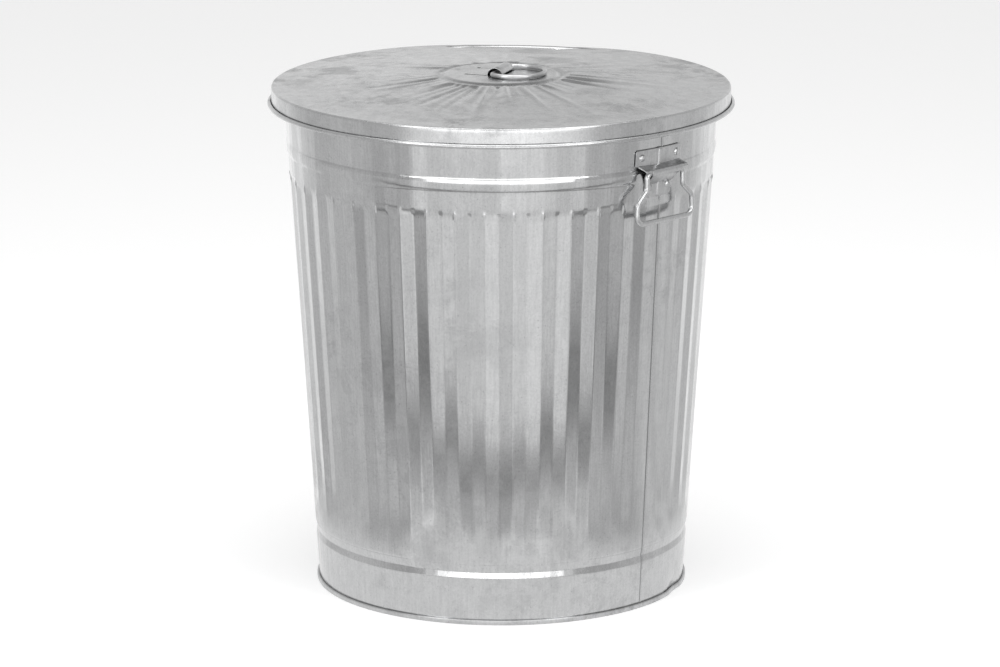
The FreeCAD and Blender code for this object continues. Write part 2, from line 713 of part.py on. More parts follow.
def add_hook(body):
    middle = (BAIL_AXIS_RADIUS, "bail_axis_height")
    shelf_run = f"({SHELF_RUN} + bracket_gauge + barrel_width ^ 2 / 8 / {wall(TAB_TOP)})"
    shelf_rise = f"({shelf_run} * tan(web_slope * 1 deg))"
    return_run = f"({RETURN_RUN} + bracket_gauge + tab_width ^ 2 / 8 / {wall(TAB_TOP)})"
    return_drop = f"({return_run} * tan(return_slope * 1 deg))"
    inner_a, inner_b, inner_c = (hook_point(BARREL_INSIDE, a) for a in (HOOK_LEAVE, HOOK_SPLIT, HOOK_BACK))
    outer_a, outer_b, outer_c = (hook_point(BARREL_OUTSIDE, a) for a in (HOOK_LEAVE, HOOK_SPLIT, HOOK_BACK))
    wing = [
        inner_a,
        inner_b,
        outer_b,
        outer_a,
        (f"{outer_a[0]} - {shelf_run}", f"{outer_a[1]} + {shelf_rise}"),
        (f"{inner_a[0]} - {shelf_run}", f"{inner_a[1]} + {shelf_rise}"),
    ]
    arcs = {0: (BARREL_INSIDE, middle, False), 2: (BARREL_OUTSIDE, middle, True)}
    sketch = outline(new_sketch(body, "wing_profile", "XZ_Plane"), wing, arcs)
    pad(body, "wing", sketch, "barrel_width")
    lip = [inner_b, inner_c, outer_c, outer_b]
    arcs = {0: (BARREL_INSIDE, middle, False), 2: (BARREL_OUTSIDE, middle, True)}
    sketch = outline(new_sketch(body, "lip_profile", "XZ_Plane"), lip, arcs)
    pad(body, "lip", sketch, "lip_width")
    back_strip = [
        inner_c,
        (f"{inner_c[0]} - {return_run}", f"{inner_c[1]} - {return_drop}"),
        (f"{outer_c[0]} - {return_run}", f"{outer_c[1]} - {return_drop}"),
        outer_c,
    ]
    sketch = outline(new_sketch(body, "return_profile", "XZ_Plane"), back_strip)
    pad(body, "return_strip", sketch, "tab_width")


def add_ribs(body):
    inner = f"({PLATE_GAP} + bracket_gauge / 2)"
    outer = f"({PLATE_GAP} + bracket_gauge + rib_proud)"
    ring_strip(body, "plate_rib", PLATE_FOOT, "(plate_top - bracket_gauge)", inner, outer, "rib_width")
    ring_strip(body, "tab_rib", "(tab_foot + bracket_gauge)", TAB_TOP, inner, outer, "rib_width")


def add_tab_corners(body):
    place = f"placement(vector(0; 0; {wall('tab_foot')}); rotation(0; 0; 0))"
    for name, sign in (("a", ""), ("b", "-")):
        edge = f"{sign}tab_width / 2"
        cut = [
            (edge, "tab_foot - bracket_gauge"),
            (f"{sign}(tab_width / 2 - tab_corner_cut - bracket_gauge)", "tab_foot - bracket_gauge"),
            (f"{sign}(tab_width / 2 + bracket_gauge)", "tab_foot + tab_corner_cut + bracket_gauge"),
            (f"{sign}(tab_width / 2 + bracket_gauge)", "tab_foot - bracket_gauge"),
        ]
        sketch = outline(new_sketch(body, f"tab_corner_outline_{name}", "YZ_Plane", place), cut[1:])
        pad(body, f"tab_corner_{name}", sketch, "8 * bracket_gauge", "Pocket")


def build_bail(side, turn):
    """A wire handle whose top bar lies in the bracket's hook; it hangs straight down."""
    at = f"vector({BAIL_AXIS_RADIUS} * cos({turn} * 1 deg); {BAIL_AXIS_RADIUS} * sin({turn} * 1 deg); bail_axis_height)"
    body = new_body(f"handle_bail_{side}", f"placement({at}; rotation({turn}; 0; 0))")
    half = [
        ("bail_leg_spacing / 2", "0"),
        ("bail_leg_spacing / 2", "-bail_leg_drop"),
        ("bail_shoulder_width / 2", "-bail_shoulder_drop"),
        ("bail_grip_width / 2", "-bail_drop"),
    ]
    other = [("-" + across, up) for across, up in reversed(half)]
    corners = [("wire_butt_gap / 2", "0"), *half, *other, ("-wire_butt_gap / 2", "0")]
    bends = ["bail_top_bend", "bail_shoulder_bend", "bail_shoulder_bend", "bail_corner_bend"]
    route = bent_path(new_sketch(body, "bail_route", "YZ_Plane"), corners, bends + bends[::-1])
    place = "placement(vector(0; 0; -wire_butt_gap / 2); rotation(0; 0; 0))"
    section = circle(new_sketch(body, "bail_section", "XZ_Plane", place), "bail_wire_diameter / 2")
    pipe(body, "bail_wire", section, route)
    return body


def build_rivet(side, name, turn):
    """Its head bears on the bracket and its tail on the inside of the wall."""
    height, offset = RIVETS[name]
    body = new_body(f"rivet_{side}_{name}", rivet_place(height, offset, turn))
    seat = f"({PLATE_GAP} + bracket_gauge + rivet_seat)"
    tail = "(-sheet_gauge - rivet_seat)"
    crown = f"({seat} + rivet_head_height)"
    dome = "(rivet_head_diameter ^ 2 / 8 / rivet_head_height + rivet_head_height / 2)"
    corners = [
        ("0", f"{tail} - rivet_tail_height"),
        ("rivet_tail_diameter / 2", f"{tail} - rivet_tail_height"),
        ("rivet_tail_diameter / 2", tail),
        ("rivet_shank_diameter / 2", tail),
        ("rivet_shank_diameter / 2", seat),
        ("rivet_head_diameter / 2", seat),
        ("0", crown),
    ]
    arcs = {5: (dome, ("0", f"{crown} - {dome}"), True)}
    sketch = outline(new_sketch(body, "rivet_profile", "XZ_Plane"), corners, arcs)
    revolve(body, "rivet", sketch)
    return body


# ---------------------------------------------------------------- build, check and write

pieces = [build_body_shell(), build_rim_wire(), build_bottom_pan(), build_lid_shell(), build_lid_handle()]
for side, turn in SIDES.items():
    pieces.append(build_bracket(side, turn))
    pieces.append(build_bail(side, turn))
    pieces += [build_rivet(side, name, turn) for name in RIVETS]
doc.recompute()

for thing in doc.Objects:
    if "Invalid" in thing.State or "Error" in thing.State:
        raise RuntimeError(f"{thing.Name}: {thing.getStatusString()}")
for piece in pieces:
    if piece.Shape.isNull() or not piece.Shape.isValid() or len(piece.Shape.Solids) != 1:
        raise RuntimeError(f"{piece.Label}: no single sound solid")

os.makedirs("parts", exist_ok=True)
for piece in pieces:
    piece.Shape.exportStep(f"parts/{piece.Label}.step")
    print(f"{piece.Label}: {piece.Shape.Volume:.0f} cubic mm")
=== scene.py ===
"""A galvanized steel trash can with a lift-off lid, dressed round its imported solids."""

import math
import random

import bmesh
import bpy
from bpy.props import FloatProperty, FloatVectorProperty, IntProperty, PointerProperty
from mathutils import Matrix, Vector


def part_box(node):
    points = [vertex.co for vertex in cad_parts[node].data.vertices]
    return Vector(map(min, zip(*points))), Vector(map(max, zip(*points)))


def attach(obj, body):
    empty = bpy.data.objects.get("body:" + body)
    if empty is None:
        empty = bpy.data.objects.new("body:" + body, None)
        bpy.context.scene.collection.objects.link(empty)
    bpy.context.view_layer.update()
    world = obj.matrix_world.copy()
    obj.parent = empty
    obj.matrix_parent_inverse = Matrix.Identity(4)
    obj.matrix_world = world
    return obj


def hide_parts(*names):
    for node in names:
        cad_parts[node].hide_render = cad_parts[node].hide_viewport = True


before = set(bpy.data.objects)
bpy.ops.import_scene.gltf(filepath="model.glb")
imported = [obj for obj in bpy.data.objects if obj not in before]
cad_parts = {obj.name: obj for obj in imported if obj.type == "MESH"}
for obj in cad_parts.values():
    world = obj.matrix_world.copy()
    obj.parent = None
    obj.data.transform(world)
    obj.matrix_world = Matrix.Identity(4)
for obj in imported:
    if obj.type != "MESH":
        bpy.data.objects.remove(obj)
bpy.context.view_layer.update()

bl_info = {
    "name": "Steel Trash Can",
    "version": (1, 0, 0),
    "blender": (4, 5, 0),
    "location": "View3D > Sidebar > Trash Can",
    "description": "Models a fluted steel trash can with its lid and handles",
    "category": "Mesh",
}

CENTRE = (0.0, 0.0, 0.0)
UP = (0.0, 0.0, 1.0)
MM = 0.001


# ------------------------------------------------------------------ sizes and colours

def length(name, words, default):
    """A size in metres."""
    return FloatProperty(name=name, description=words, default=default, unit="LENGTH", precision=5)


def degrees(name, words, default):
    """An angle, given in degrees and kept in radians."""
    return FloatProperty(name=name, description=words, default=math.radians(default), subtype="ANGLE")


def tint(name, words, default):
    """A colour of a finish."""
    return FloatVectorProperty(name=name, description=words, subtype="COLOR", size=3, min=0, max=1,
                               default=default)


class CanSizes(bpy.types.PropertyGroup):
    gauge: length("Gauge", "Thickness of the sheet", 0.0006)
    foot_radius: length("Foot radius", "Outer radius of the wall's cone at the ground", 0.1979)
    top_radius: length("Top radius", "Outer radius of the wall's cone at the rim", 0.233)
    height: length("Height", "Height of the rolled rim", 0.5425)
    flutes: IntProperty(name="Flutes", description="Number of upright folds", default=45)
    flute_depth: length("Flute depth", "Depth of a valley below its ridges", 0.0019)
    plain_panel: degrees("Plain panel", "Width of the panel without flutes", 11.1)
    plain_turn: degrees("Plain panel turn", "Where the plain panel's middle lies", 2.1)


class LidSizes(bpy.types.PropertyGroup):
    radius: length("Radius", "Outer radius of the lid's skirt", 0.2458)
    top: length("Top", "Height of the lid's outer edge", 0.5434)
    rise: length("Rise", "Height of the middle above the edge", 0.0119)
    turn: degrees("Strap turn", "Direction in which the strap points", 24.5)
    creases: IntProperty(name="Creases", description="Number of folds round the middle", default=60)


class HandleSizes(bpy.types.PropertyGroup):
    gauge: length("Gauge", "Thickness of the bracket's sheet", 0.0013)
    axis_height: length("Hinge height", "Height of the wire handle's top bar", 0.484)
    stand_off: length("Stand-off", "Distance from the wall to the top bar", 0.0098)
    hook_radius: length("Hook radius", "Outer radius of the hook round the wire", 0.00435)


class Finish(bpy.types.PropertyGroup):
    zinc: tint("Zinc", "Colour of the zinc coat", (0.665, 0.668, 0.672))
    # The dull colour serves the duller blotches and also the painted shade in the groove round the lid's
    # middle.
    dull_and_shade: tint("Dull zinc", "Colour of the duller blotches", (0.335, 0.338, 0.342))
    # The seam gap colour is painted shade, darkening the lock seam's gaps where shade falls.
    gap: tint("Seam gap", "Colour of the painted_shade in the lock seam's gaps", (0.22, 0.22, 0.222))
    floor: tint("Floor", "Colour of the floor", (0.9, 0.9, 0.9))


GROUPS = {"can": CanSizes, "lid": LidSizes, "handle": HandleSizes, "finish": Finish}


def settings(group):
    """One of the groups of sizes on the scene."""
    return getattr(bpy.context.scene, "trash_" + group)


# ------------------------------------------------------------------ modelling by hand

def start():
    """Leave edit mode and let go of everything."""
    if bpy.context.object and bpy.context.object.mode != "OBJECT":
        bpy.ops.object.mode_set(mode="OBJECT")
    bpy.ops.object.select_all(action="DESELECT")


def take(piece):
    """Select one piece alone, in object mode."""
    start()
    piece.select_set(True)
    bpy.context.view_layer.objects.active = piece


def pick(test):
    """In edit mode, select the corners that pass a test."""
    mesh = bpy.context.object.data
    work = bmesh.from_edit_mesh(mesh)
    for corner in work.verts:
        corner.select = bool(test(corner.co))
    work.select_flush_mode()
    bmesh.update_edit_mesh(mesh)


def pick_faces(test):
    """In edit mode, select the faces whose middle passes a test."""
    bpy.ops.mesh.select_mode(type="FACE")
    mesh = bpy.context.object.data
    work = bmesh.from_edit_mesh(mesh)
    for face in work.faces:
        face.select = bool(test(face.calc_center_median()))
    work.select_flush_mode()
    bmesh.update_edit_mesh(mesh)


def corners_only():
    """In edit mode, select by corners again."""
    bpy.ops.mesh.select_mode(type="VERT")


def new_chain(name, points):
    """Draw a line of corners: one corner is set down, and the rest are extruded from it."""
    start()
    bpy.ops.mesh.primitive_plane_add(size=0.001, location=CENTRE)
    piece = bpy.context.object
    piece.name = name
    bpy.ops.object.mode_set(mode="EDIT")
    corners_only()
    bpy.ops.mesh.merge(type="CENTER")
    bpy.ops.transform.translate(value=points[0])
    for first, last in zip(points, points[1:]):
        step = Vector(last) - Vector(first)
        bpy.ops.mesh.extrude_region_move(TRANSFORM_OT_translate={"value": step})
    return piece


def profile(points):
    """Points of a turned section, as radius and height, set out along +X."""
    return [Vector((radius, 0, height)) for radius, height in points]


def spin(angle, steps=1, copies=False):
    """Spin about the upright axis, anticlockwise from above for a positive angle."""
    bpy.ops.mesh.spin(steps=steps, angle=-angle, center=CENTRE, axis=UP, dupli=copies)


def scale_out(factor):
    """Scale what is selected away from the upright axis, and keep its height."""
    bpy.ops.transform.resize(value=(factor, factor, 1), center_override=CENTRE)


def turn_picked(angle):
    """Turn what is selected about the upright axis, anticlockwise from above for a positive angle."""
    bpy.ops.transform.rotate(value=-angle, orient_axis="Z", center_override=CENTRE)


def merge(gap=2e-6):
    """Weld corners that lie on one another."""
    corners_only()
    bpy.ops.mesh.select_all(action="SELECT")
    bpy.ops.mesh.remove_doubles(threshold=gap)


def outward(at):
    """The level direction from the upright axis to a place."""
    return Vector((at.x, at.y, 0))


def face_out(toward=outward):
    """Make the sheet's faces agree on their front, and turn the front to where it looks from a place."""
    corners_only()
    bpy.ops.mesh.select_all(action="SELECT")
    bpy.ops.mesh.normals_make_consistent(inside=False)
    work = bmesh.from_edit_mesh(bpy.context.object.data)
    if sum(face.normal.dot(toward(face.calc_center_median())) * face.calc_area() for face in work.faces) < 0:
        bpy.ops.mesh.flip_normals()


def apply_modifier(piece, kind, **values):
    """Add a modifier to a piece, set its values and apply it."""
    take(piece)
    modifier = piece.modifiers.new(kind.title(), kind)
    for key, value in values.items():
        setattr(modifier, key, value)
    bpy.ops.object.modifier_apply(modifier=modifier.name)


def smooth(piece, angle=35):
    """Shade a piece smooth, apart from edges that turn by more than an angle in degrees."""
    take(piece)
    bpy.ops.object.shade_smooth_by_angle(angle=math.radians(angle))


def arc(middle, radius, first, last, steps):
    """Points of an arc in a section, as radius and height; angles in degrees."""
    turns = [math.radians(first + (last - first) * step / steps) for step in range(steps + 1)]
    return [(middle[0] + radius * math.cos(turn), middle[1] + radius * math.sin(turn)) for turn in turns]


def ray(turn):
    """The level direction at an angle round the can, in degrees."""
    return Vector((math.cos(math.radians(turn)), math.sin(math.radians(turn)), 0))


def off_turn(co, turn):
    """How far a corner lies round the can from an angle, in radians."""
    return abs(math.remainder(math.atan2(co.y, co.x) - turn, 2 * math.pi))


def push(place, move, reach):
    """Push the sheet near a place, as a thumb would."""
    pick(lambda co: (co - place).length < 0.0035)
    bpy.ops.transform.translate(value=move, use_proportional_edit=True, proportional_edit_falloff="SMOOTH",
                                proportional_size=reach, use_proportional_connected=True)


# ------------------------------------------------------------------ shader expressions

class Sock:
    """A shader socket that can stand in an expression."""

    def __init__(self, tree, out):
        self.tree = tree
        self.out = out

    def maths(self, operation, *others, flip=False):
        """This socket and others through a maths node; flip puts this socket last."""
        values = [other.out if isinstance(other, Sock) else other for other in others]
        values = [*values, self.out] if flip else [self.out, *values]
        return self.tree.node("ShaderNodeMath", {"operation": operation}, values)

    def __add__(self, other):
        return self.maths("ADD", other)

    __radd__ = __add__

    def __sub__(self, other):
        return self.maths("SUBTRACT", other)

    def __rsub__(self, other):
        return self.maths("SUBTRACT", other, flip=True)

    def __mul__(self, other):
        return self.maths("MULTIPLY", other)

    __rmul__ = __mul__

    def above(self, edge, soft):
        """0 below an edge, 1 above it, eased over its softness."""
        return self.tree.node("ShaderNodeMapRange", {"interpolation_type": "SMOOTHSTEP"}, {
            "Value": self.out, "From Min": edge - soft, "From Max": edge + soft})


class Shader:
    """A material's node tree, written as expressions."""

    def __init__(self, name, world=None):
        self.owner = world or bpy.data.materials.new(name)
        self.owner.use_nodes = True
        self.nodes = self.owner.node_tree.nodes
        self.links = self.owner.node_tree.links
        self.nodes.clear()

    def node(self, kind, values=None, sockets=(), output=0):
        """Add a node with its settings and inputs, and hand back one of its outputs."""
        made = self.nodes.new(kind)
        for key, value in (values or {}).items():
            setattr(made, key, value)
        pairs = sockets.items() if isinstance(sockets, dict) else enumerate(sockets)
        for key, value in pairs:
            value = value.out if isinstance(value, Sock) else value
            if isinstance(value, bpy.types.NodeSocket):
                self.links.new(value, made.inputs[key])
            else:
                made.inputs[key].default_value = value
        return Sock(self, made.outputs[output])

    def place(self, scale=(1, 1, 1)):
        """A place on the object, scaled on each axis."""
        where = self.node("ShaderNodeTexCoord", output="Object")
        return self.node("ShaderNodeMapping", {}, {"Vector": where, "Scale": scale})

    def noise(self, where, scale, detail=3.0, roughness=0.5, distortion=0.0):
        """Noise from 0 to 1 at a place."""
        return self.node("ShaderNodeTexNoise", {}, {"Vector": where, "Scale": scale, "Detail": detail,
                                                    "Roughness": roughness, "Distortion": distortion})

    def mix(self, factor, first, second):
        """The first colour where the factor is 0, and the second where it is 1."""
        colours = {0: factor, 6: (*first, 1), 7: (*second, 1)}
        return self.node("ShaderNodeMix", {"data_type": "RGBA"}, colours, output=2)

    def finish(self, shader, kind="ShaderNodeOutputMaterial"):
        """Link a shader to the output, and hand back the material or world."""
        self.links.new(shader.out, self.nodes.new(kind).inputs["Surface"])
        return self.owner


def zinc(name, roughness=0.20, blotches=1.0, grain=1.0, dents=1.0, ring=0.0, coat="zinc"):
    """Bare zinc: cloudy, lightly speckled, and not quite flat.

    The ring value paints shade into the groove round the lid's middle, as darker zinc colour. The coat is the
    finish that gives the colour; the gap coat is painted shade for the seam's gaps.
    """
    finish = settings("finish")
    tree = Shader(name)
    here = tree.place()
    along = tree.place((1, 1, 0.04))
    patch = tree.noise(here, 7.0, 2.0).above(0.5, 0.14)
    cloud = patch * tree.noise(here, 22.0, 7.0, 0.74, 0.4).above(0.53, 0.07)
    mottle = tree.noise(here, 75.0, 6.0, 0.72).above(0.52, 0.16)
    streak = tree.noise(along, 380.0, 4.0, 0.65).above(0.5, 0.25)
    fine = tree.noise(here, 420.0, 5.0, 0.7).above(0.5, 0.25)
    speck = tree.noise(here, 620.0, 2.0, 0.5).above(0.70, 0.05)
    dull_and_shade = blotches * (0.42 * cloud + 0.16 * mottle) + grain * (0.22 * streak + 0.26 * fine + 0.6 * speck)
    # Painted shade: the groove round the lid's middle is mixed toward the dull colour.
    if ring:
        flat_place = tree.place((1, 1, 0))
        out = tree.node("ShaderNodeVectorMath", {"operation": "LENGTH"}, {0: flat_place}, output="Value")
        dull_and_shade = dull_and_shade + ring * out.above(0.0615, 0.003) * (1 - out.above(0.0715, 0.004)) * (0.4 + mottle)
    colour = tree.mix(dull_and_shade, tuple(getattr(finish, coat)), tuple(finish.dull_and_shade))
    rough = roughness + 0.07 * cloud + 0.05 * mottle + 0.04 * streak
    wave = tree.noise(tree.place((1, 1, 0.35)), 26.0, 2.0, 0.5)
    ripple = tree.noise(here, 260.0, 3.0, 0.6)
    height = wave + 0.05 * ripple
    bump = tree.node("ShaderNodeBump", {}, {"Strength": 0.06 * dents, "Distance": 0.004, "Height": height})
    metal = tree.node("ShaderNodeBsdfPrincipled", {}, {
        "Base Color": colour, "Metallic": 1.0, "Roughness": rough, "Normal": bump})
    return tree.finish(metal)


def dress(piece, material, body, slot, *nodes):
    """Give a piece its material and its body, and hide the nodes that it stands in for. The slot is not used.
    """
    piece.data.materials.clear()
    piece.data.materials.append(material)
    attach(piece, body)
    if nodes:
        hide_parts(*nodes)


# ------------------------------------------------------------------ the can's wall

def cone(height):
    """The outer radius of the wall's plain cone at a height."""
    can = settings("can")
    return can.foot_radius + (can.top_radius - can.foot_radius) * height / can.height


# Heights are in millimetres here, and lifts are millimetres out from the cone.
SHOULDER = (
    (1.6, 0), (6, 0), (20, 0), (36, 0), (49.4, 0), (50.6, 0), (51.2, -0.1), (51.7, -0.206), (57.1, -1.354),
    (57.6, -1.46), (58.3, -1.52), (59.2, -1.40), (65.6, -0.22), (66.2, -0.26), (66.9, -0.42),
    (67.6, -0.02), (68.2, 0.02), (70, 0), (78, 0))
BEAD_AND_COLLAR = (
    (462, 0), (469.4, 0), (471.4, 0), (472.6, 0.08), (473.8, 0.42), (475.2, 0.84), (477.2, 1.08),
    (479.6, 1.18), (481.2, 1.2), (482.2, 1.14), (482.8, 1.05), (485.2, 0.64), (485.8, 0.50),
    (487.2, 0.09), (488.2, 0), (492, 0), (505, 0), (518, 0), (530, 0))
# How deep the flutes are toward their ends, as shares of the full depth.
FOOT_RUN = ((84, 0.0), (90, 0.05), (97, 0.20), (105, 0.44), (113, 0.69), (121, 0.88), (129, 0.97), (136, 1.0))
TOP_RUN = ((441, 1.0), (444.5, 0.93), (447.5, 0.68), (450, 0.33), (452.5, 0.06), (454.5, 0.0))
# How far the ridge's upper end is crumpled out.
CRUMPLE = ((444.5, 0.45), (447.5, 0.75), (450, 0.35))
CRUMPLE_HEIGHT = 0.447
# Between these heights, in metres, the flutes have their full depth.
FLUTE_RUN = (0.140, 0.435)

# Where columns of corners stand between a ridge and the middle of its valley.
FLUTE_STEPS = (0.0, 0.05, 0.12, 0.17, 0.83, 0.88, 0.95, 1.0)
RIDGE_ROUND = 0.12
MID_HEIGHT = 0.27
MID_RADIUS = 0.216
ROLL_HEIGHT = 0.5391
ROLL_RADIUS = 0.0034
PAN_HEIGHT = 0.0120
HEM_ROUND = 0.001
FOOT_KNOCK = 24.0
SEAM_WIDTH = math.radians(1.0)
STRIP_SINK = 0.00006
STRIP_RAISE = 0.0006


def wall_points():
    """The wall's outer face from the hem to the top of the collar, in metres."""
    rows = [*SHOULDER, *((height, 0) for height, _ in FOOT_RUN)]
    rows += [(height, 0) for height in (150, 190, 230, 270, 310, 350, 390, 425)]
    rows += [*((height, 0) for height, _ in TOP_RUN), *BEAD_AND_COLLAR]
    return [(cone(height * MM) + lift * MM, height * MM) for height, lift in rows]


def flute_fall(part):
    """How far in a flute lies between its ridge and its valley, as a share of its depth."""
    can = settings("can")
    half = (2 * math.pi - can.plain_panel) / can.flutes / 2
    deep = 1 - can.flute_depth / cone(MID_HEIGHT)
    flat = (deep * math.sin(half)) / (math.sin(half * part) + deep * math.sin(half * (1 - part)))
    share = (1 - flat) / (1 - deep)
    if part < RIDGE_ROUND:
        return share + 0.30 * RIDGE_ROUND * (1 - part / RIDGE_ROUND) ** 2
    if part > 1 - RIDGE_ROUND:
        return share - 0.30 * RIDGE_ROUND * (1 - (1 - part) / RIDGE_ROUND) ** 2
    return share


def shape_flutes(first_turn, half):
    """Press the first flute's valley and the crumple at its upper end; the others are its copies."""
    can = settings("can")
    deep = can.flute_depth / cone(MID_HEIGHT)
    rows = [(low * MM, low * MM, share) for low, share in FOOT_RUN + TOP_RUN if share > 0]
    rows.append((*FLUTE_RUN, 1.0))

    def part_of(co):
        return 1 - off_turn(co, first_turn + half) / half

    for part in FLUTE_STEPS:
        fall = flute_fall(part)
        for low, high, share in rows:
            pick(lambda co: abs(part_of(co) - part) < 0.01 and low - 2e-4 < co.z < high + 2e-4)
            scale_out(1 - deep * fall * share)
    for part in (0.0, 0.05):
        for height, lift in CRUMPLE:
            pick(lambda co: abs(co.z - height * MM) < 2e-4 and abs(part_of(co) - part) < 0.01)
            scale_out(1 + lift * MM / cone(CRUMPLE_HEIGHT))


class TRASH_OT_wall(bpy.types.Operator):
    """Model the can's wall: its hem, shoulder, flutes, bead, collar and rolled rim"""
    bl_idname = "trash.wall"
    bl_label = "Wall"

    def execute(self, context):
        can = settings("can")
        gauge = can.gauge
        inner = [(radius - gauge, height) for radius, height in wall_points()]
        roll = (cone(ROLL_HEIGHT) + 0.0028, ROLL_HEIGHT)
        inner += [(roll[0] - ROLL_RADIUS, roll[1])] + arc(roll, ROLL_RADIUS, 160, -120, 14)
        wall = new_chain("wall", profile(inner))
        pitch = (2 * math.pi - can.plain_panel) / can.flutes
        first_turn = can.plain_turn + can.plain_panel / 2
        bpy.ops.mesh.select_all(action="SELECT")
        turn_picked(first_turn)
        parts = [part / 2 for part in FLUTE_STEPS] + [1 - part / 2 for part in reversed(FLUTE_STEPS[:-1])]
        for low, high in zip(parts, parts[1:]):
            spin((high - low) * pitch)
        corners_only()
        shape_flutes(first_turn, pitch / 2)
        bpy.ops.mesh.select_all(action="SELECT")
        spin((can.flutes - 1) * pitch, can.flutes - 1, copies=True)
        pick(lambda co: off_turn(co, first_turn) < 1e-4)
        spin(-can.plain_panel, 10)
        merge()
        face_out()
        self.knock()
        bpy.ops.object.mode_set(mode="OBJECT")
        apply_modifier(wall, "SOLIDIFY", thickness=gauge, offset=1.0, use_even_offset=True)
        smooth(wall, 50)
        apply_modifier(wall, "WEIGHTED_NORMAL", weight=50, keep_sharp=True)
        dress(wall, zinc("wall_zinc", 0.12, 0.5, 0.85), "can", "wall_sheet", "body_shell")
        self.seam()
        return {"FINISHED"}

    def knock(self):
        """The small knocks that the foot and the collar took."""
        corners_only()
        knocks = ((FOOT_KNOCK, 0.006, 2.2, 0.024), (-3.0, 0.030, 0.6, 0.030), (-40.0, 0.5, 0.5, 0.05),
                  (-95.0, 0.505, 0.5, 0.05))
        for turn, height, depth, reach in knocks:
            way = ray(turn)
            push(way * cone(height) + Vector((0, 0, height)), -way * depth * MM, reach)

    def lean(self, height):
        """Where the seam's first edge lies round the wall at a height."""
        return math.radians(2.4 - 1.9 * height / 0.51)

    def seam(self):
        """The folded strip where the wall's two edges lock together, a little out of plumb."""
        points = [(radius, height) for radius, height in wall_points() if height > 0.0055]
        strip = new_chain("wall_seam", profile([(radius - STRIP_SINK, height) for radius, height in points]))
        bpy.ops.mesh.select_all(action="SELECT")
        step = SEAM_WIDTH / 6
        for share in (1.3, 1.1, 1.2, 1.1, 1.3):
            spin(step * share)
        corners_only()
        pick(lambda co: step * 0.6 < math.atan2(co.y, co.x) < step * 5.4)
        scale_out(1 + STRIP_RAISE / MID_RADIUS)
        for radius, height in points:
            pick(lambda co: abs(co.z - height) < 1e-4)
            turn_picked(self.lean(height))
        merge()
        face_out()
        bpy.ops.object.mode_set(mode="OBJECT")
        smooth(strip, 50)
        dress(strip, zinc("seam_zinc", 0.24, 0.8), "can", "wall_sheet")
        # Painted shade: a darker second material for the seam strip, standing in for the shade in the lock
        # seam's gaps.
        strip.data.materials.append(zinc("seam_gap_zinc", 0.35, 0.8, coat="gap"))
        take(strip)
        bpy.ops.object.mode_set(mode="EDIT")
        # Painted shade: the faces along both edges of the strip take the dark gap material.
        pick_faces(lambda at: abs(math.atan2(at.y, at.x) - self.lean(at.z) - step * 3) > step * 1.7)
        strip.active_material_index = 1
        bpy.ops.object.material_slot_assign()
        corners_only()
        bpy.ops.object.mode_set(mode="OBJECT")


class TRASH_OT_pan(bpy.types.Operator):
    """Model the bottom pan with the hem that holds the wall"""
    bl_idname = "trash.pan"
    bl_label = "Bottom pan"

    def execute(self, context):
        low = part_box("bottom_pan")
        outside = low[1][0]
        points = [(outside - 0.0024, 0.0049)]
        points += arc((outside - HEM_ROUND, 0.0042), HEM_ROUND, 100, 0, 5)
        points += arc((outside - HEM_ROUND, HEM_ROUND), HEM_ROUND, 0, -90, 4)
        points += [(0.1972, 0), (0.1966, 0.0008), (0.1972, PAN_HEIGHT - 0.0008)]
        points += [(radius, PAN_HEIGHT) for radius in (0.1960, 0.150, 0.08, 0.0)]
        pan = new_chain("bottom_pan_sheet", profile(points))
        bpy.ops.mesh.select_all(action="SELECT")
        spin(2 * math.pi, 256)
        merge()
        face_out(lambda at: Vector((0, 0, -1)))
        corners_only()
        way = ray(FOOT_KNOCK)
        push(way * outside + Vector((0, 0, 0.002)), -way * 0.0022, 0.024)
        bpy.ops.object.mode_set(mode="OBJECT")
        apply_modifier(pan, "SOLIDIFY", thickness=settings("can").gauge, offset=-1.0, use_even_offset=True)
        smooth(pan, 40)
        dress(pan, zinc("pan_zinc", 0.26), "can", "pan_sheet", "bottom_pan")
        return {"FINISHED"}


# ------------------------------------------------------------------ the lid

# Radius in metres and drop in millimetres of the groove round the pressed middle.
LID_GROOVE = ((0.0585, 0.1), (0.0602, 0.5), (0.0625, 1.4), (0.0645, 1.8), (0.0665, 1.7),
              (0.0683, 1.35), (0.070, 1.2), (0.072, 1.3))
# Turn in degrees, distance from the middle, drop in millimetres and reach of each dent.
LID_DENTS = ((128, 0.242, 2.6, 0.150), (121, 0.244, 2.2, 0.035), (146, 0.236, 1.1, 0.016),
             (150, 0.222, -0.8, 0.014), (141, 0.214, 0.8, 0.012), (124, 0.205, 0.8, 0.02))
FIELD_RUN = (0.086, 0.2338)
FIELD_DROP = 0.0024
CURL_RADIUS = 0.0024
STRAP_SIDES = (-0.0170, 0.0200)
SLIT_END = -0.033
CUT_HEIGHT = 0.555


